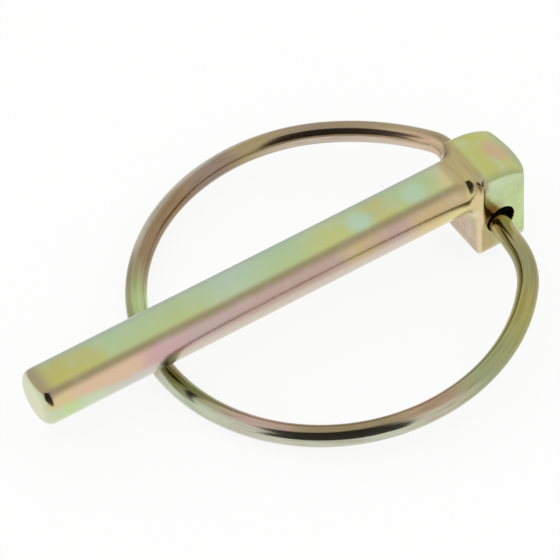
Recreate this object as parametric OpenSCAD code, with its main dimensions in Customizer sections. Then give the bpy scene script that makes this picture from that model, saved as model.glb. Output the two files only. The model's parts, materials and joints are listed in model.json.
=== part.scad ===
// Lynch pin: a forged steel pin with a spring-wire ring hinged through its head.
// Millimetres, +Z up. The pin lies as it rests on a table: on the foot of its
// head and on the far side of its ring. The origin is at the middle of the
// footprint, on the table, and the tip points along -X.

/* [Shank] */
// Diameter of the round shank
shank_d = 4.8; // [4:0.1:6]
// Length of the shank, from the shoulder to the tip
shank_l = 40.6; // [34:0.1:60]
// Depth of the flat pressed along the top of the shank
flat_depth = 0.48; // [0.2:0.02:0.6]
// Radius of the rounding around the end face of the tip
tip_r = 0.8; // [0.3:0.05:1.2]
// Radius of the hollow fillet between the shank and the shoulder
root_r = 0.9; // [0.5:0.1:1.1]

/* [Head] */
// Width of the head, along the cross hole
head_w = 6; // [5.4:0.1:7]
// Length of the head, from the shoulder to the crown of its end
head_l = 4.9; // [4.5:0.1:5.8]
// Height of the crest of the head above the flat of the shank
crest_h = 0.54; // [0.3:0.02:0.6]
// Distance of the crest from the shoulder
crest_x = 0.9; // [0.7:0.1:1.4]
// Radius of the arched top, seen from the side
top_r = 6; // [5.8:0.1:8]
// Radius of the brow, where the arched top turns down to the shank
brow_r = 1.6; // [1:0.1:2.5]
// Radius of the crowned end, seen from above
end_r = 5.8; // [5.5:0.1:9]
// Depth of the foot of the head below the axis of the shank
foot_z = 7.3; // [6.6:0.1:8]
// Radius of the heel, where the foot turns up into the end
heel_r = 3; // [0.8:0.1:3.2]
// Radius of the toe, where the foot meets the shoulder
toe_r = 0.6; // [0.2:0.1:1]
// Radius of the long edges of the foot
foot_r = 2.2; // [0.8:0.1:2.4]
// Radius that breaks the long edges of the top
edge_r = 0.8; // [0.3:0.1:1.2]

/* [Cross hole] */
// Diameter of the cross hole
hole_d = 2.6; // [2.3:0.1:3]
// Distance of the hole from the shoulder
hole_x = 1.8; // [1.8:0.1:2.4]
// Depth of the hole below the axis of the shank
hole_z = 2.9; // [2.9:0.05:4]

/* [Ring] */
// Diameter of the spring wire
wire_d = 1.8; // [1.4:0.1:1.9]
// Radius of the round of the ring, to the middle of the wire
ring_r = 16; // [14:0.5:17]
// How far inside the line of that round the hole lies
ring_in = 1.3; // [0.8:0.1:2]
// Radius of the slack quarter, where the coil opens on the far side of the pin
slack_r = 21; // [18:0.5:24]
// Angle from the head round to where the slack quarter begins
slack_a = 72; // [65:1:80]
// Radius of the wide bend, on the near side
wide_r = 8; // [5:0.5:9]
// Radius of the tight bend, on the far side
tight_r = 2.5; // [2:0.1:4]
// Gap between the slanting wire and the mouth of the hole
mouth_gap = 0.08; // [0.05:0.01:0.15]
// Gap between the two ends of the wire, inside the hole
end_gap = 1; // [0.4:0.1:2]

/* [Pose] */
// Angle of the ring below the shank, as it lies
ring_open = 2.8; // [2:0.1:6]

/* [Hidden] */
$fn = 96;
over = 1; // how far a cutter runs past what it cuts
lap = 0.05; // how far each thin length of the wire runs on into its neighbour
hair = 0.01; // how much fuller, on its radius, every other length of the wire is

shank_r = shank_d / 2;
wire_r = wire_d / 2;
flat_z = shank_r - flat_depth;
crest_z = flat_z + crest_h;
top_z = crest_z - top_r; // height of the centre of the arched top
brow_z = crest_z - brow_r; // height of the centre of the brow
half_w = head_w / 2;

// Plane geometry: a vector turned by a, the way from a point at angle a round from the
// head to the middle of the ring, the angle of such a way, and the side of a triangle
function turned(v, a) = [v.x * cos(a) - v.y * sin(a), v.x * sin(a) + v.y * cos(a)];
function aim(a) = [cos(a), -sin(a)];
function bearing(v) = atan2(-v.y, v.x);
function reach_y(long, short) = sqrt(pow(long, 2) - pow(short, 2));

// Hollow that leads from the flat up on to the brow
sweep_r = 1.5;
sweep_z = flat_z + sweep_r;
sweep_x = crest_x - reach_y(brow_r + sweep_r, sweep_z - brow_z);

// Slant of the two straight ends of the wire, as much as the mouths of the hole let it
mouth = hole_d / 2 - mouth_gap;
slant = acos(wire_r / norm([mouth, half_w])) - atan2(half_w, mouth);

// Ring in its own plane: u runs from the hinge to the arc that lies under the shank, y
// along the hinge. It is drawn turned back by its slant, so its ends lie along y.
ring_u = ring_r - ring_in;
round_c = turned([ring_u, 0], -slant);
slack_c = round_c + (slack_r - ring_r) * aim(slack_a - slant);
wide_c = [wide_r, round_c.y - reach_y(ring_r - wide_r, round_c.x - wide_r)];
tight_c = [tight_r, slack_c.y + reach_y(slack_r - tight_r, slack_c.x - tight_r)];
wide_a = bearing(round_c - wide_c);
tight_a = bearing(slack_c - tight_c);
reach = ring_u + ring_r;

// Lean of the pin as it lies, from the toe of its head to the far side of the ring
far_x = hole_x - reach * cos(ring_open);
far_z = -hole_z - reach * sin(ring_open);
toe_dx = toe_r - far_x;
toe_dz = toe_r - foot_z - far_z;
lean = atan2(toe_dz, toe_dx) + asin((wire_r - toe_r) / norm([toe_dx, toe_dz]));
rise = wire_r - far_x * -sin(lean) - far_z * cos(lean);
tip_end = -shank_l * cos(lean) + flat_z * sin(lean);
heel_end = (head_l - heel_r) * cos(lean) + (heel_r - foot_z) * sin(lean) + heel_r;

// Places the pin, drawn with its shoulder on the origin, as it lies
module lay()
    translate([-(tip_end + heel_end) / 2, 0, rise])
        rotate([0, lean, 0])
            children();

// Turns an outline drawn as [x, z] to stand along Y, w wide about the middle
module across(w)
    translate([0, w / 2, 0])
        rotate([90, 0, 0])
            linear_extrude(w)
                children();

// Turns an outline drawn as [y, z] to run along X, from x0 to x1
module along(x0, x1)
    translate([x0, 0, 0])
        rotate([90, 0, 90])
            linear_extrude(x1 - x0)
                children();

// Waste outside a rounded right-angled corner, with the corner on the origin
module corner(r)
    difference() {
        translate([-over, -over])
            square(r + over);
        translate([r, r])
            circle(r);
    }

// Shank with the rounded tip, running a little way into the head
module shank()
    rotate([0, -90, 0])
        rotate_extrude()
            difference() {
                translate([0, -hole_x / 2])
                    square([shank_r, shank_l + hole_x / 2]);
                translate([shank_r, shank_l])
                    rotate([0, 0, 180])
                        corner(tip_r);
            }

// Outline of the head from the end, open at the top: a tall bar with a rounded foot
module end_outline()
    difference() {
        translate([-half_w, -foot_z])
            square([head_w, foot_z + crest_z + over]);
        for (side = [-1, 1])
            translate([side * half_w, -foot_z])
                mirror([(side + 1) / 2, 0])
                    corner(foot_r);
    }

// Outline of the head from the side, open at the top: shoulder, toe, foot, heel and end
module side_outline()
    difference() {
        translate([0, -foot_z])
            square([head_l, foot_z + crest_z + over]);
        translate([0, -foot_z])
            corner(toe_r);
        translate([head_l, -foot_z])
            mirror([1, 0])
                corner(heel_r);
    }

// Outline of the head from above: square shoulder, crowned end
module plan_outline()
    intersection() {
        translate([-over, -half_w])
            square([head_l + 2 * over, head_w]);
        translate([head_l - end_r, 0])
            circle(end_r);
    }

// Wheel whose rounded rim is the arched top of the head
module top_wheel()
    translate([crest_x, 0, top_z])
        rotate([90, 0, 0])
            rotate_extrude()
                difference() {
                    translate([0, -half_w])
                        square([top_r, head_w]);
                    for (side = [-1, 1])
                        translate([top_r, side * half_w])
                            mirror([1, 0])
                                mirror([0, (side + 1) / 2])
                                    corner(edge_r);
                }

// Forged head: what the wheel, the side, the end and the plan outlines share
module head()
    intersection() {
        top_wheel();
        across(head_w + over)
            side_outline();
        along(-over, head_l + over)
            end_outline();
        translate([0, 0, -foot_z - over])
            linear_extrude(foot_z + crest_z + 2 * over)
                plan_outline();
    }

// Hollow fillet around the root of the shank, no wider than the head
module root()
    intersection() {
        rotate([0, -90, 0])
            rotate_extrude()
                difference() {
                    translate([0, -edge_r])
                        square([shank_r + root_r, root_r + edge_r]);
                    translate([shank_r + root_r, root_r])
                        circle(root_r);
                }
        along(-root_r - over, edge_r)
            end_outline();
    }

// Waste above the flat, the hollow at its end and the brow
module flat_waste()
    across(head_w + 2 * over)
        difference() {
            translate([-shank_l - over, flat_z])
                square([shank_l + over + crest_x, shank_r + root_r]);
            translate([crest_x, brow_z])
                circle(brow_r);
            difference() {
                polygon([
                    [sweep_x, flat_z - over],
                    [sweep_x, sweep_z],
                    [crest_x, brow_z],
                    [crest_x, brow_z - over]
                ]);
                translate([sweep_x, sweep_z])
                    circle(sweep_r);
            }
        }

module pin()
    color("darkkhaki")
        lay()
            difference() {
                union() {
                    shank();
                    root();
                    head();
                }
                flat_waste();
                translate([hole_x, 0, -hole_z])
                    rotate([90, 0, 0])
                        cylinder(h = head_w + 2 * over, d = hole_d, center = true);
            }

// Thin or full wire bent round the point c at radius r. Its ends are given as angles
// round from the head, and a thin length runs on by a lap at both.
module bent(c, r, from, to, full = false)
    let (extra = full ? 0 : asin(lap / r))
        translate([c.x, c.y, 0])
            rotate([0, 0, 180 - to - extra])
                rotate_extrude(angle = to - from + 2 * extra)
                    translate([r, 0])
                        circle(full ? wire_r + hair : wire_r);

// Straight end of the wire along y, from near the middle of the hole to its bend
module straight(end_y, full = false)
    let (side = sign(end_y), extra = full ? 0 : lap)
        translate([0, side * end_gap / 2, 0])
            rotate([-90 * side, 0, 0])
                cylinder(h = abs(end_y) + extra - end_gap / 2, r = full ? wire_r + hair : wire_r);

module ring()
    color("tan")
        lay()
            translate([hole_x, 0, -hole_z])
                rotate([0, 180 - ring_open, 0])
                    rotate([0, 0, slant])
                        union() {
                            straight(wide_c.y);
                            bent(wide_c, wide_r, wide_a, 0, full = true);
                            bent(round_c, ring_r, slack_a - slant, 360 + wide_a);
                            bent(slack_c, slack_r, tight_a, slack_a - slant, full = true);
                            bent(tight_c, tight_r, 0, tight_a);
                            straight(tight_c.y, full = true);
                        }

pin();
ring();
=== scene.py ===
import json
import math

import bpy
from mathutils import Matrix, Vector


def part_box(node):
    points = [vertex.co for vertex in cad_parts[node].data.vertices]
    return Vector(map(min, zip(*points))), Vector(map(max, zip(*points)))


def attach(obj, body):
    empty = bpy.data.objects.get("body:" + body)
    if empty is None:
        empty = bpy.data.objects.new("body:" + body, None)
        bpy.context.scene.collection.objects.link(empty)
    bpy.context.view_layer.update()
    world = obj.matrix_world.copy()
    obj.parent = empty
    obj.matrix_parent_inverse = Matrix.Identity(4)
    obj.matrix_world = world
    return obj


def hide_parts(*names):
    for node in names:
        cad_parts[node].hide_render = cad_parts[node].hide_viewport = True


# Lynch pin: forged pin and spring-wire ring, zinc plated with a yellow chromate film
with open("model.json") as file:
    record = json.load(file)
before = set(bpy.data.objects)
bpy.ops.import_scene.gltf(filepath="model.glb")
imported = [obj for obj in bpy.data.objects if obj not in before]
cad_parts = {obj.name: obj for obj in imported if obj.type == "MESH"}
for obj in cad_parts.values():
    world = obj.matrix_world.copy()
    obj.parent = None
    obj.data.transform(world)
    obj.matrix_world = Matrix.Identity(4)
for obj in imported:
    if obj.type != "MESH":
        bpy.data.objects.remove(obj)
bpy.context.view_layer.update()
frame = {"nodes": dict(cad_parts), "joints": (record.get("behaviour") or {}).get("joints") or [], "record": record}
print("frame loaded:", sorted(frame["nodes"]))

mm = 0.001  # sizes below are in millimetres, Blender's are in metres


def deselectAll():
    for each in bpy.context.selected_objects:
        each.select_set(False)


def makeActive(piece):
    deselectAll()
    bpy.context.view_layer.objects.active = piece
    piece.select_set(True)


def applyModifier(piece, kind, **settings):
    makeActive(piece)
    bpy.ops.object.modifier_add(type=kind)
    modifier = piece.modifiers[-1]
    for name, value in settings.items():
        setattr(modifier, name, value)
    bpy.ops.object.modifier_apply(modifier=modifier.name)


# The pin's own frame: origin on the shank's axis at the shoulder, X towards the end of
# the head, Z square to the flat. It follows from the two mounts.
mounts = {mount["name"]: mount for mount in frame["record"]["mounts"]}
tipWay = Vector(mounts["shoulder"]["axis"])
shankMiddle = Vector(mounts["shank"]["pos_m"])
shoulderSpot = Vector(mounts["shoulder"]["pos_m"])
pinOrigin = shankMiddle - tipWay * (shankMiddle - shoulderSpot).dot(tipWay)
headWay = -tipWay
acrossWay = Vector((0, 1, 0))
pinTurn = Matrix((headWay, acrossWay, headWay.cross(acrossWay))).transposed()

pinSizes = {
    "merge": 0.002,  # gap across which loose triangles are joined
    "grain": 0.106,  # size of the faces that the forging is made of
    "softening": 10,  # rounds of smoothing, which leave edges as soft as plating does
}


def forgedPin():
    mesh = frame["nodes"]["pin"].data.copy()
    piece = bpy.data.objects.new("forgedPin", mesh)
    bpy.context.scene.collection.objects.link(piece)
    makeActive(piece)
    bpy.ops.object.mode_set(mode="EDIT")
    bpy.ops.mesh.select_all(action="SELECT")
    bpy.ops.mesh.remove_doubles(threshold=pinSizes["merge"] * mm)
    bpy.ops.object.mode_set(mode="OBJECT")
    applyModifier(piece, "REMESH", mode="VOXEL", voxel_size=pinSizes["grain"] * mm, use_smooth_shade=True)
    applyModifier(piece, "SMOOTH", iterations=pinSizes["softening"])
    return piece


ringSizes = {
    "wire": 0.9,  # radius of the wire
    "round": 16, "inset": 1.3,  # radius of the round, and how far inside its line the hole lies
    "slack": 21, "slackFrom": 72,  # radius of the slack quarter, and the angle where it begins
    "wide": 8, "tight": 2.5,  # radius of the bend on the near side and on the far side
    "mouth": 1.22, "halfHead": 3,  # room in the mouth of the hole, and half the head's width
    "gap": 1,  # between the two ends, inside the hole
    "sides": 40, "stepDegrees": 3,  # faces round the wire, and the turn from one row of them to the next
    "endBevel": 0.12, "bevelSteps": 2,  # round the wire's two cut ends
    "merge": 0.001,  # gap across which the ends of two arcs are joined
    "sharp": 40,  # degrees between two faces past which the edge stays sharp
}

# The ring's own frame: origin at the hinge, X towards the arc that lies under the shank, Y along
# the hinge. It lies with the far side of that arc down on the table.
hinge = Vector(frame["joints"][0]["pos_m"])
ringReach = 2 * ringSizes["round"] - ringSizes["inset"]
ringFall = math.asin((hinge.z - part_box("ring")[0].z - ringSizes["wire"] * mm) / (ringReach * mm))
alongWay = Vector((-math.cos(ringFall), 0, -math.sin(ringFall)))
ringTurn = Matrix((alongWay, acrossWay, alongWay.cross(acrossWay))).transposed()


def springRing():
    s = ringSizes
    mouth, half = s["mouth"], s["halfHead"]
    slant = math.acos(s["wire"] / math.hypot(mouth, half)) - math.atan2(half, mouth)
    ringMiddle = s["round"] - s["inset"]
    slackEnd = math.radians(s["slackFrom"]) - slant
    # middles of the four arcs, in the order in which the wire runs through them
    roundAt = Vector((ringMiddle * math.cos(slant), -ringMiddle * math.sin(slant)))
    slackAt = roundAt + (s["slack"] - s["round"]) * Vector((math.cos(slackEnd), -math.sin(slackEnd)))
    tightRise = math.sqrt((s["slack"] - s["tight"]) ** 2 - (slackAt.x - s["tight"]) ** 2)
    wideDrop = math.sqrt((s["round"] - s["wide"]) ** 2 - (roundAt.x - s["wide"]) ** 2)
    tightAt = Vector((s["tight"], slackAt.y + tightRise))
    wideAt = Vector((s["wide"], roundAt.y - wideDrop))
    tightEnd = math.atan2(tightAt.y - slackAt.y, slackAt.x - tightAt.x)
    wideEnd = 2 * math.pi + math.atan2(wideAt.y - roundAt.y, roundAt.x - wideAt.x)
    arcs = [
        (tightAt, tightEnd),
        (slackAt, slackEnd - tightEnd),
        (roundAt, wideEnd - slackEnd),
        (wideAt, 2 * math.pi - wideEnd),
    ]
    deselectAll()
    bpy.ops.mesh.primitive_circle_add(
        vertices=s["sides"], radius=s["wire"] * mm, fill_type="NOTHING",
        location=(0, s["gap"] / 2 * mm, 0), rotation=(math.pi / 2, 0, 0),
    )
    piece = bpy.context.object
    piece.name = "springRing"
    bpy.ops.object.transform_apply(location=True, rotation=True, scale=True)
    bpy.ops.object.mode_set(mode="EDIT")
    bpy.ops.mesh.select_all(action="SELECT")
    runWire(tightAt.y - s["gap"] / 2)
    for middle, angle in arcs:  # spin turns clockwise, as the wire runs
        bpy.ops.mesh.spin(
            steps=round(math.degrees(angle) / s["stepDegrees"]), angle=angle,
            center=(middle.x * mm, middle.y * mm, 0), axis=(0, 0, 1),
        )
    runWire(-s["gap"] / 2 - wideAt.y)
    bpy.ops.mesh.select_all(action="SELECT")
    bpy.ops.mesh.remove_doubles(threshold=s["merge"] * mm)
    bpy.ops.mesh.fill_holes(sides=0)
    bpy.ops.mesh.normals_make_consistent(inside=False)
    bpy.ops.object.mode_set(mode="OBJECT")
    bevelEnds(piece)
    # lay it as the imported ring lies: hinge in its hole, the far side down on the table
    turned = ringTurn @ Matrix.Rotation(slant, 3, "Z")
    piece.matrix_world = Matrix.Translation(hinge) @ turned.to_4x4()
    makeActive(piece)
    bpy.ops.object.transform_apply(location=True, rotation=True, scale=True)
    bpy.ops.object.shade_smooth_by_angle(angle=math.radians(s["sharp"]))
    return piece


def runWire(length):
    bpy.ops.mesh.extrude_region_move(TRANSFORM_OT_translate={"value": (0, length * mm, 0)})


def bevelEnds(piece):
    # only the two end faces lie near the middle of the hole and look along it
    for face in piece.data.polygons:
        face.select = abs(face.center.y) < ringSizes["gap"] * mm and abs(face.normal.y) > 0.99
    makeActive(piece)
    bpy.ops.object.mode_set(mode="EDIT")
    bpy.ops.mesh.select_mode(type="FACE")
    bpy.ops.mesh.region_to_loop()
    bpy.ops.mesh.bevel(offset=ringSizes["endBevel"] * mm, segments=ringSizes["bevelSteps"])
    bpy.ops.object.mode_set(mode="OBJECT")


pin = forgedPin()
print("pin:", len(pin.data.polygons), "faces")
ring = springRing()
print("ring:", len(ring.data.polygons), "faces")


def toLinear(hexColour):
    channels = [int(hexColour[i:i + 2], 16) / 255 for i in (1, 3, 5)]
    return [c / 12.92 if c <= 0.04045 else ((c + 0.055) / 1.055) ** 2.4 for c in channels] + [1]


def newMaterial(name, roughness, metallic=0):
    material = bpy.data.materials.new(name)
    material.use_nodes = True
    shader = material.node_tree.nodes["Principled BSDF"]
    shader.inputs["Roughness"].default_value = roughness
    shader.inputs["Metallic"].default_value = metallic
    return material, material.node_tree, shader


def addNode(tree, kind, settings=None, inputs=None):
    node = tree.nodes.new("ShaderNode" + kind)
    for name, value in (settings or {}).items():
        setattr(node, name, value)
    for name, value in (inputs or {}).items():
        if isinstance(value, bpy.types.NodeSocket):
            tree.links.new(value, node.inputs[name])
        else:
            node.inputs[name].default_value = value
    return node


# What a chromate film shows on zinc as it thickens: it interferes with the light, so a few
# hundredths of a micrometre more turn straw to green, blue, mauve and back to tan
# some of these colours are also laid below as painted shade, shadow, highlight and reflection
filmColours = {
    "gold": "#bcb45a", "straw": "#bab970", "lemon": "#dcd294", "honey": "#dac694",
    "lime": "#bfc57e", "leaf": "#b2c38c", "seaGreen": "#adc696", "mint": "#c3d79a",
    "frost": "#c9d4b4", "mist": "#b0cab0", "haze": "#a2b0a0", "dew": "#cdd4c0",
    "pearl": "#ccc7be", "cream": "#d0c3b2", "salmon": "#dcbea0", "peach": "#c8a38b",
    "pink": "#cca8a8", "mauve": "#c0aaa4", "rose": "#bca296", "clay": "#978478",
    "fawn": "#c6b094", "tan": "#c5af83", "sand": "#b1977e", "dun": "#b4a474",
    "brass": "#a8986e", "wheat": "#a29c60", "moss": "#969e73", "olive": "#949269",
    "khaki": "#948667", "bronze": "#947c61", "amber": "#a07c4c", "umber": "#644e28",
}
spotCore = 0.3  # share of a spot's radius within which its film is whole


def film(name):
    return toLinear(filmColours[name])


def shareOf(tree, amount, *limits):
    # the amount, fading softly to none at each limit: (value, where none, where all of it)
    for value, none, full in limits:
        amount = addNode(tree, "MapRange", {"interpolation_type": "SMOOTHSTEP"}, {
            "Value": value, "From Min": none, "From Max": full, "To Max": amount,
        }).outputs["Result"]
    return amount


def layFilm(tree, below, above, amount, *limits):
    # one film over another: each is a name from filmColours or the colour of a pattern
    below, above = [film(each) if isinstance(each, str) else each for each in (below, above)]
    share = shareOf(tree, amount, *limits)
    # 6, 7 and 2 are the sockets that a Mix node has for colours
    return addNode(tree, "Mix", {"data_type": "RGBA"}, {0: share, 6: below, 7: above}).outputs[2]


def layFilms(tree, at, below, *films):
    # films laid in turn over the first one: each is (film, share, limits), and a limit is the name
    # of a measure in "at", where there is none of the film and where there is all of it
    for above, share, *limits in films:
        limits = [(at[name], none, full) for name, none, full in limits]
        below = layFilm(tree, below, above, share, *limits)
    return below


def laySpot(tree, below, place, spot, *limits):
    # a round spot of film: (film, share, middle, radius)
    above, share, middle, radius = spot
    away = addNode(tree, "VectorMath", {"operation": "DISTANCE"}, {0: place, 1: middle})
    return layFilm(
        tree, below, above, share, (away.outputs["Value"], radius, radius * spotCore), *limits,
    )


def strayed(tree, value, place, finish):
    # the value pushed to and fro, so that the edges of its bands wander
    cloud = addNode(tree, "TexNoise", None, {
        "Vector": place, "Scale": 1 / finish["wanderSize"], "Detail": 2.0,
    })
    push = addNode(tree, "MapRange", None, {
        "Value": cloud.outputs["Fac"], "To Min": -finish["wander"] / 2, "To Max": finish["wander"] / 2,
    })
    return addNode(tree, "Math", {"operation": "ADD"}, {0: value, 1: push.outputs["Result"]}).outputs[0]


def filmBands(tree, value, stops):
    # films along a value: the stops are (value, film), lowest first
    low, high = stops[0][0], stops[-1][0]
    share = addNode(tree, "MapRange", None, {"Value": value, "From Min": low, "From Max": high})
    node = addNode(tree, "ValToRGB", None, {"Fac": share.outputs["Result"]})
    ramp = node.color_ramp
    ramp.interpolation = "EASE"
    for spot, colour in stops[1:-1]:
        ramp.elements.new((spot - low) / (high - low)).color = film(colour)
    ramp.elements[0].color = film(stops[0][1])
    ramp.elements[-1].color = film(stops[-1][1])
    return node.outputs["Color"]


def streaks(tree, place, sizes, detail=2.0, roughness=0.5):
    # cloudy streaks, given by their size along x, y and z
    scaled = addNode(tree, "VectorMath", {"operation": "DIVIDE"}, {0: place, 1: sizes}).outputs[0]
    return addNode(tree, "TexNoise", None, {
        "Vector": scaled, "Scale": 1.0, "Detail": detail, "Roughness": roughness,
    }).outputs["Fac"]


def angleOf(tree, rise, run):
    # the angle in degrees whose tangent is rise over run
    turn = addNode(tree, "Math", {"operation": "ARCTAN2"}, {0: rise, 1: run}).outputs[0]
    return addNode(tree, "Math", {"operation": "DEGREES"}, {0: turn}).outputs[0]


# Sizes and places in mm in the pin's own frame. A film's limits are the name of a measure, where
# there is none of the film and where there is all of it. The measures are x, y and z, side (how far
# from the middle, either way), axis (how far from the shank's axis), fore and up (how squarely the
# face looks towards the tip and upwards, from -1 to 1), and clouds and lines (noise, from 0 to 1).
pinFinish = {
    "roughness": 0.2,
    "wander": 3, "wanderSize": 2.5,  # how far the edges of the bands stray, and the size of the strays
    "cloudSize": 1.4,  # of the patches that vary the film
    "dieLines": (1 / 3, 4, 1 / 3),  # size of the lines across the hollow, along x, y and z
    "pitSize": 0.3, "pitDepth": 0.006,  # scale pits left by the forging
    # lines of the drawn bar: size and depth, coarser than real ones, which would be too fine to show
    "drawLines": (8, 0.5, 0.5), "drawDepth": 0.012,
    "dapple": ("pearl", 0.15, ("clouds", 0.45, 0.75)),  # paler clouds over everything
    # bands of the film along the shank
    "flat": [
        (-38, "gold"), (-35.5, "straw"), (-33.5, "seaGreen"), (-27, "leaf"), (-22, "mist"),
        (-17, "seaGreen"), (-13, "lime"), (-10.5, "leaf"), (-8, "straw"), (-6, "leaf"),
        (-3.6, "leaf"), (-1.5, "honey"),
    ],
    "side": [
        (-39.5, "honey"), (-37.5, "salmon"), (-33, "salmon"), (-30, "pink"), (-26, "mauve"),
        (-18, "rose"), (-14, "rose"), (-11, "tan"), (-8, "rose"), (-5, "tan"),
    ],
    # under the shank: the honey and lemon by the head are a painted highlight
    "under": [
        (-40.5, "frost"), (-38.5, "mint"), (-37, "frost"), (-33, "pearl"), (-28, "cream"),
        (-8, "cream"), (-4.5, "honey"), (-2.5, "lemon"),
    ],
    # where one gives way to the next, in degrees round the shank from the middle of its flat
    "flatToSide": (38, 47), "sideToUnder": (78, 94), "underToBack": (120, 160),
    "underRise": 12, "underRises": (-33, -38),  # at the tip it reaches this many degrees further up
    "across": ["straw", ("haze", 1, ("y", -1.8, 1.6))], "acrossShare": 0.35,  # a tint across the flat
    "patches": [  # thicker spots on the flat
        ("mist", 0.85, (-10.2, -0.35, 1.9), 1.6),
        ("mist", 0.75, (-4.9, -0.15, 1.9), 1.6),
    ],
    # painted reflection: a dark line where the flat ends, in degrees round the shank
    "rim": ["khaki", ("haze", 1, ("y", -0.5, 0.5))], "rimShare": 0.9,
    "rimFrom": 25, "rimAt": 40, "rimTo": 57,
    # thick where the flat runs out into the end, and thin on the end
    "tipEdge": ("clay", 0.7, ("x", -41.2, -40.2), ("x", -38.8, -40.2), ("z", 1.2, 1.8)),
    "end": "frost", "endWhere": (1, ("fore", 0.5, 0.9), ("x", -38, -40)),
    "endSpot": ("lemon", 0.4, (-40.6, -0.3, 0.2), 2.6),
    # the head, from where the shank's film gives way to its own
    "headWhere": (1, ("x", -1.3, -0.5)),
    "cheek": ["mint", ("leaf", 1, ("clouds", 0.3, 0.7)), ("frost", 0.6, ("z", -0.5, 2))],
    "lowCheek": ("dun", 1, ("x", 2.2, 0.8), ("z", -2.2, -3.4), ("side", 2.6, 2.9)),
    "top": ["straw", ("leaf", 1, ("clouds", 0.35, 0.75))], "topWhere": (1, ("up", 0.4, 0.7)),
    "blush": ("peach", 0.75, (3.35, -0.1, 2.2), 1.8),
    # painted shade along the edges round the top
    "topEdgeShade": "moss", "topEdgeShadeShare": 0.8, "topEdgeShadeSide": (2.1, 3), "topEdgeShadeEnd": (3.4, 4.7),
    "front": ["fawn", ("sand", 1, ("clouds", 0.3, 0.7)), ("honey", 1, ("side", 1.7, 2.4))],
    "frontWhere": (1, ("fore", 0.25, 0.65)),
    # painted highlight: honey, lemon and straw round the root of the shank
    "fillet": ["honey", ("lemon", 1, ("side", 2.5, 1.8)), ("straw", 1, ("z", -1.8, -3.2))],
    "filletWhere": (1, ("axis", 3.9, 2.9), ("x", 0.5, 0.1)),
    # the hollow under the brow, and a painted shadow in its far end
    "hollow": ["brass", ("dun", 1, ("lines", 0.35, 0.65)), ("khaki", 0.7, ("y", -1, -3))],
    "hollowWhere": (0.9, ("x", -2, -1.1), ("x", 0.8, 0.3), ("z", 0.8, 1.8)),
    "farShadow": ("umber", 0.85, (-0.4, 2.4, 1.5), 1.3),
    # painted shadow and reflection of the wire where it leaves its hole, on both sides, fading where the face
    # looks to the front
    "wireShadow": ("amber", 0.9, (0.5, 3, -1.6), 1.9), "wireShadowFades": (0.75, 0.35),
}


def chromatedForging():
    # Yellow-chromated zinc on forged steel: bright, patchy green and straw on the flat,
    # pinker round the side, with a painted reflection as a dark line along each edge of the flat
    material, tree, shader = newMaterial("yellowChromatedForging", pinFinish["roughness"], metallic=1)
    coords = addNode(tree, "TexCoord").outputs
    place = addNode(tree, "Mapping", {"vector_type": "TEXTURE"}, {
        "Vector": coords["Object"], "Location": pinOrigin,
        "Rotation": pinTurn.to_euler(), "Scale": (mm, mm, mm),
    }).outputs["Vector"]
    at = pinMeasures(tree, place, coords["Normal"])
    colour = layFilms(
        tree, at, shankFilm(tree, place, at),
        (headFilm(tree, place, at), *pinFinish["headWhere"]),
        (layFilms(tree, at, *pinFinish["hollow"]), *pinFinish["hollowWhere"]),
    )
    # painted shadow in the far end of the hollow
    colour = laySpot(tree, colour, place, pinFinish["farShadow"])
    colour = layFilms(tree, at, colour, pinFinish["dapple"])
    tree.links.new(colour, shader.inputs["Base Color"])
    drawBump = addNode(tree, "Bump", None, {
        "Height": streaks(tree, place, pinFinish["drawLines"]),
        "Distance": pinFinish["drawDepth"] * mm, "Strength": 1.0,
    })
    pits = addNode(tree, "TexNoise", None, {
        "Vector": place, "Scale": 1 / pinFinish["pitSize"], "Detail": 2.0,
    })
    pitBump = addNode(tree, "Bump", None, {
        "Height": pits.outputs["Fac"], "Distance": pinFinish["pitDepth"] * mm, "Strength": 1.0,
        "Normal": drawBump.outputs["Normal"],
    })
    tree.links.new(pitBump.outputs["Normal"], shader.inputs["Normal"])
    return material


def pinMeasures(tree, place, normal):
    x, y, z = addNode(tree, "SeparateXYZ", None, {"Vector": place}).outputs
    facing = addNode(tree, "SeparateXYZ", None, {"Vector": normal}).outputs
    around = addNode(tree, "CombineXYZ", None, {"Y": y, "Z": z}).outputs[0]
    return {
        "x": x, "y": y, "z": z,
        "side": addNode(tree, "Math", {"operation": "ABSOLUTE"}, {0: y}).outputs[0],
        "axis": addNode(tree, "VectorMath", {"operation": "LENGTH"}, {0: around}).outputs["Value"],
        "fore": addNode(tree, "Math", {"operation": "MULTIPLY"}, {0: facing[0], 1: -1.0}).outputs[0],
        "up": facing[2],
        "clouds": addNode(tree, "TexNoise", None, {
            "Vector": place, "Scale": 1 / pinFinish["cloudSize"], "Detail": 3.0, "Roughness": 0.6,
        }).outputs["Fac"],
        "lines": streaks(tree, place, pinFinish["dieLines"]),
    }


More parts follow.
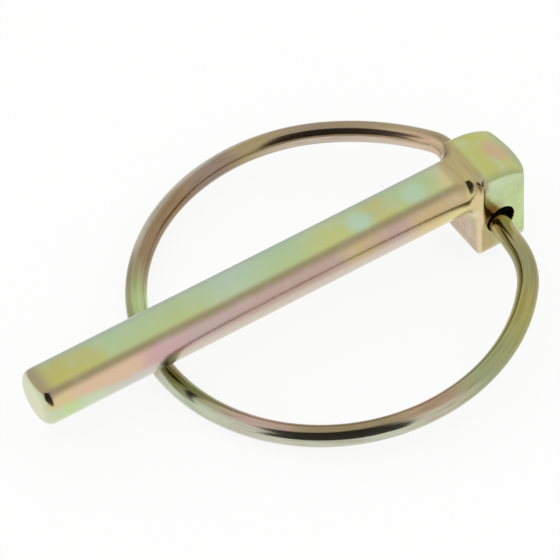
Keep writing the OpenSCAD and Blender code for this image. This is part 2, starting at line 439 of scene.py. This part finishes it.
def shankFilm(tree, place, at):
    # bands along the bar, laid by the angle round it from the middle of the flat
    finish = pinFinish
    along = strayed(tree, at["x"], place, finish)
    angle = angleOf(tree, at["side"], at["z"])
    flat = filmBands(tree, along, finish["flat"])
    flat = layFilm(tree, flat, layFilms(tree, at, *finish["across"]), finish["acrossShare"])
    for patch in finish["patches"]:
        flat = laySpot(tree, flat, place, patch)
    side = filmBands(tree, along, finish["side"])
    shank = layFilm(tree, flat, side, 1, (angle, *finish["flatToSide"]))
    rise = shareOf(tree, finish["underRise"], (at["x"], *finish["underRises"]))
    lower = addNode(tree, "Math", {"operation": "ADD"}, {0: angle, 1: rise}).outputs[0]
    under = filmBands(tree, along, finish["under"])
    shank = layFilm(tree, shank, under, 1, (lower, *finish["sideToUnder"]))
    shank = layFilm(tree, shank, flat, 1, (angle, *finish["underToBack"]))
    # painted reflection: a dark line along each edge of the flat
    rim = layFilms(tree, at, *finish["rim"])
    inside, outside = (angle, finish["rimFrom"], finish["rimAt"]), (angle, finish["rimTo"], finish["rimAt"])
    shank = layFilm(tree, shank, rim, finish["rimShare"], inside, outside)
    end = laySpot(tree, finish["end"], place, finish["endSpot"])
    return layFilms(tree, at, shank, finish["tipEdge"], (end, *finish["endWhere"]))


def headFilm(tree, place, at):
    # green cheeks, straw on top, tan in front, with painted shade along the edges round the top, and a painted
    # shadow and reflection of the wire by its hole
    finish = pinFinish
    top = laySpot(tree, layFilms(tree, at, *finish["top"]), place, finish["blush"])
    # painted shade along the edges round the top
    edge = addNode(tree, "Math", {"operation": "MAXIMUM"}, {
        0: shareOf(tree, finish["topEdgeShadeShare"], (at["side"], *finish["topEdgeShadeSide"])),
        1: shareOf(tree, finish["topEdgeShadeShare"], (at["x"], *finish["topEdgeShadeEnd"])),
    }).outputs[0]
    top = layFilm(tree, top, finish["topEdgeShade"], edge)
    head = layFilms(
        tree, at, layFilms(tree, at, *finish["cheek"]),
        (top, *finish["topWhere"]),
        (layFilms(tree, at, *finish["front"]), *finish["frontWhere"]),
        # painted highlight round the root of the shank
        (layFilms(tree, at, *finish["fillet"]), *finish["filletWhere"]),
        finish["lowCheek"],
    )
    mirrored = addNode(tree, "CombineXYZ", None, {"X": at["x"], "Y": at["side"], "Z": at["z"]})
    # painted shadow and reflection of the wire by its hole, on both sides
    return laySpot(tree, head, mirrored.outputs[0], finish["wireShadow"], (at["fore"], *finish["wireShadowFades"]))


# Places in mm from the ring's middle, x towards the head and y towards the far side. The film's
# limits are as in pinFinish, and outer goes from -1 on the ring's inner side to 1 on its outer side.
wireFinish = {
    "roughness": 0.16,
    "wander": 14, "wanderSize": 3,  # how far the edges of the bands stray in degrees, and their size in mm
    # bands of the film round the ring, in degrees from the head over the far side
    "bands": [
        (-180, "bronze"), (-166, "moss"), (-144, "rose"), (-127, "khaki"), (-108, "khaki"),
        (-92, "sand"), (-74, "moss"), (-48, "wheat"), (-30, "olive"), (-12, "dun"),
        (10, "brass"), (30, "salmon"), (60, "clay"), (82, "brass"), (95, "clay"),
        (112, "bronze"), (135, "bronze"), (155, "leaf"), (168, "leaf"), (180, "bronze"),
    ],
    "films": [
        ("dew", 0.75, ("outer", 0.3, 0.9), ("x", 9, -5), ("y", 4, -2)),  # painted reflection of the pale surroundings: near arc, outer side
        ("dew", 0.525, ("outer", -0.1, 0.5), ("x", 4, -2), ("y", 9, 13)),  # painted reflection of the pale surroundings: far arc, outer side
        ("cream", 0.75, ("outer", -0.8, -0.98), ("x", 0, 6), ("y", 4, 9)),  # painted highlight: inner side by the head
        ("khaki", 0.8, ("outer", -0.7, -0.1), ("x", 5, 10), ("y", 1, 6)),  # painted shade: outer side by the head
        ("umber", 0.44, ("outer", 0.1, 0.7), ("x", -10.5, -13), ("y", 0, 3)),  # painted shadow: under the shank
        ("umber", 0.3, ("lines", 0.4, 0.7)),  # held in the drawing lines
    ],
    # lines left by the drawing die, coarser than real ones so that they show: spacing round the
    # wire and length round the ring, in degrees, and depth in mm
    "drawSpacing": 16, "drawLength": 14, "drawDepth": 0.003,
    "drawDetail": 3.0, "drawRoughness": 0.6,  # how uneven the lines are
}


def chromatedWire():
    # Yellow-chromated zinc on drawn spring wire: smoother and browner than the forging,
    # with a painted reflection paler on the outer sides, and painted highlight, shade and shadow
    material, tree, shader = newMaterial("yellowChromatedWire", wireFinish["roughness"], metallic=1)
    low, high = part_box("ring")
    coords = addNode(tree, "TexCoord").outputs
    place = addNode(tree, "Mapping", {"vector_type": "TEXTURE"}, {
        "Vector": coords["Object"], "Location": (low + high) / 2, "Scale": (mm, mm, mm),
    }).outputs["Vector"]
    x, y = addNode(tree, "SeparateXYZ", None, {"Vector": place}).outputs[:2]
    angle = angleOf(tree, y, x)
    outward = addNode(tree, "CombineXYZ", None, {"X": x, "Y": y}).outputs[0]
    outward = addNode(tree, "VectorMath", {"operation": "NORMALIZE"}, {0: outward}).outputs[0]
    outer = addNode(tree, "VectorMath", {"operation": "DOT_PRODUCT"}, {0: outward, 1: coords["Normal"]})
    lines = wireLines(tree, coords["Object"], angle)
    at = {"x": x, "y": y, "outer": outer.outputs["Value"], "lines": lines}
    bands = filmBands(tree, strayed(tree, angle, place, wireFinish), wireFinish["bands"])
    colour = layFilms(tree, at, bands, *wireFinish["films"])
    tree.links.new(colour, shader.inputs["Base Color"])
    bump = addNode(tree, "Bump", None, {
        "Height": lines, "Distance": wireFinish["drawDepth"] * mm, "Strength": 1.0,
    })
    tree.links.new(bump.outputs["Normal"], shader.inputs["Normal"])
    return material


def wireLines(tree, spot, angle):
    # lines along the wire, which keep their height above the ring's plane
    level = addNode(tree, "Mapping", {"vector_type": "TEXTURE"}, {
        "Vector": spot, "Location": hinge,
        "Rotation": ringTurn.to_euler(), "Scale": [ringSizes["wire"] * mm] * 3,
    }).outputs["Vector"]
    level = addNode(tree, "SeparateXYZ", None, {"Vector": level}).outputs[2]
    level = addNode(tree, "Clamp", None, {"Value": level, "Min": -1.0, "Max": 1.0}).outputs[0]
    turned = addNode(tree, "Math", {"operation": "ARCSINE"}, {0: level}).outputs[0]
    turned = addNode(tree, "Math", {"operation": "DEGREES"}, {0: turned}).outputs[0]
    drawn = addNode(tree, "CombineXYZ", None, {"X": turned, "Y": angle}).outputs[0]
    sizes = (wireFinish["drawSpacing"], wireFinish["drawLength"], 1)
    return streaks(tree, drawn, sizes, wireFinish["drawDetail"], wireFinish["drawRoughness"])


pin.data.materials.clear()
pin.data.materials.append(chromatedForging())
ring.data.materials.clear()
ring.data.materials.append(chromatedWire())
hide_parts("pin")
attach(pin, "pin")
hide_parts("ring")
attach(ring, "ring")
print("materials set")

camera = {
    "aim": (2.91, 4.28, 0),  # point on the table that the middle of the view looks at
    "azimuth": -33.3, "elevation": 46.94, "distance": 332.9, "roll": -1.24,
    "lens": 260.15, "sensor": 36,
    "nearest": 10, "farthest": 10000,
}


def fromAround(aim, azimuth, elevation, distance):
    # place and turn of what looks at the aim, from a compass angle, a height angle and a distance
    a, e = math.radians(azimuth), math.radians(elevation)
    back = Vector((math.sin(a) * math.cos(e), -math.cos(a) * math.cos(e), math.sin(e)))
    turn = (-back).to_track_quat("-Z", "Y").to_matrix().to_4x4()
    return Matrix.Translation(Vector(aim) * mm + back * distance * mm) @ turn


def addCamera():
    data = bpy.data.cameras.new("camera")
    data.lens = camera["lens"]
    data.sensor_width = camera["sensor"]
    data.clip_start = camera["nearest"] * mm
    data.clip_end = camera["farthest"] * mm
    body = bpy.data.objects.new("camera", data)
    bpy.context.scene.collection.objects.link(body)
    spot = fromAround(camera["aim"], camera["azimuth"], camera["elevation"], camera["distance"])
    body.matrix_world = spot @ Matrix.Rotation(-math.radians(camera["roll"]), 4, "Z")
    bpy.context.scene.camera = body


studio = {
    "world": 0.9,  # strength of the white all round, as light
    "floorSize": 4000, "floorColour": "#f6f6f4", "floorRoughness": 0.9,
    "floorGlow": 0.88,  # share of the floor that is plain white to the camera
    # a soft lamp, in watts, over the left side
    "lamp": 0.35, "lampSize": 300, "lampAzimuth": -75, "lampElevation": 60, "lampDistance": 600,
    # dark cloth in an arch behind the camera, which only reflections see: (left, right) are
    # compass angles from the front, at the foot of the arch and at its top
    "clothFrom": (-3.2, -13.6), "clothDistance": 600, "clothTop": 84, "clothSteps": 28,
    "clothBelow": (-70, 0), "clothAbove": (-100, -5), "clothWidens": (35, 65),
    "clothColour": "#3c3834", "clothRoughness": 1,
}


def addWorld():
    world = bpy.data.worlds.new("studio")
    world.use_nodes = True
    tree = world.node_tree
    rays = addNode(tree, "LightPath").outputs
    seen, reflected = rays["Is Camera Ray"], rays["Is Glossy Ray"]
    plain = addNode(tree, "Math", {"operation": "MAXIMUM"}, {0: seen, 1: reflected})
    strength = addNode(tree, "Math", {"operation": "MAXIMUM"}, {0: plain.outputs[0], 1: studio["world"]})
    tree.links.new(strength.outputs[0], tree.nodes["Background"].inputs["Strength"])
    tree.nodes["Background"].inputs["Color"].default_value = (1, 1, 1, 1)
    bpy.context.scene.world = world


def addFloor():
    deselectAll()
    bpy.ops.mesh.primitive_plane_add(size=studio["floorSize"] * mm)
    floor = bpy.context.object
    floor.name = "floor"
    # White studio paper: matt, so all it shows is a soft shadow
    paper, tree, shader = newMaterial("whitePaper", studio["floorRoughness"])
    shader.inputs["Base Color"].default_value = toLinear(studio["floorColour"])
    rays = addNode(tree, "LightPath").outputs
    seen, reflected = rays["Is Camera Ray"], rays["Is Glossy Ray"]
    plain = addNode(tree, "Math", {"operation": "MULTIPLY"}, {0: seen, 1: studio["floorGlow"]})
    share = addNode(tree, "Math", {"operation": "MAXIMUM"}, {0: plain.outputs[0], 1: reflected})
    glow = addNode(tree, "Emission", None, {"Color": (1, 1, 1, 1), "Strength": 1.0})
    mix = addNode(tree, "MixShader", None, {0: share.outputs[0], 1: shader.outputs[0], 2: glow.outputs[0]})
    tree.links.new(mix.outputs[0], tree.nodes["Material Output"].inputs["Surface"])
    floor.data.materials.append(paper)


def addCloth():
    deselectAll()
    bpy.ops.mesh.primitive_grid_add(x_subdivisions=1, y_subdivisions=studio["clothSteps"], size=2)
    cloth = bpy.context.object
    cloth.name = "darkCloth"
    startsAt, endsAt = studio["clothWidens"]
    for vertex in cloth.data.vertices:  # the flat grid goes from -1 to 1 both ways
        rise = (vertex.co.y + 1) / 2 * studio["clothTop"]
        share = min(max((rise - startsAt) / (endsAt - startsAt), 0), 1)
        edge = int(vertex.co.x > 0)
        turn = math.radians(studio["clothBelow"][edge] * (1 - share) + studio["clothAbove"][edge] * share)
        flat = studio["clothDistance"] * math.cos(math.radians(rise))
        vertex.co = Vector((
            studio["clothFrom"][0] + flat * math.sin(turn),
            studio["clothFrom"][1] - flat * math.cos(turn),
            studio["clothDistance"] * math.sin(math.radians(rise)),
        )) * mm
    # Dark felt: matt and almost black, so the zinc shows it as a plain dark streak
    felt, _, shader = newMaterial("darkFelt", studio["clothRoughness"])
    shader.inputs["Base Color"].default_value = toLinear(studio["clothColour"])
    cloth.data.materials.append(felt)
    cloth.visible_camera = False
    cloth.visible_diffuse = False
    cloth.visible_shadow = False


def addLamp():
    data = bpy.data.lights.new("softLamp", "AREA")
    data.size = studio["lampSize"] * mm
    data.energy = studio["lamp"]
    lamp = bpy.data.objects.new("softLamp", data)
    lamp.visible_glossy = False
    bpy.context.scene.collection.objects.link(lamp)
    lamp.matrix_world = fromAround(
        (0, 0, 0), studio["lampAzimuth"], studio["lampElevation"], studio["lampDistance"],
    )


addCamera()
addWorld()
addFloor()
addCloth()
addLamp()
bpy.context.scene.view_settings.view_transform = "Standard"
print("camera and studio set")
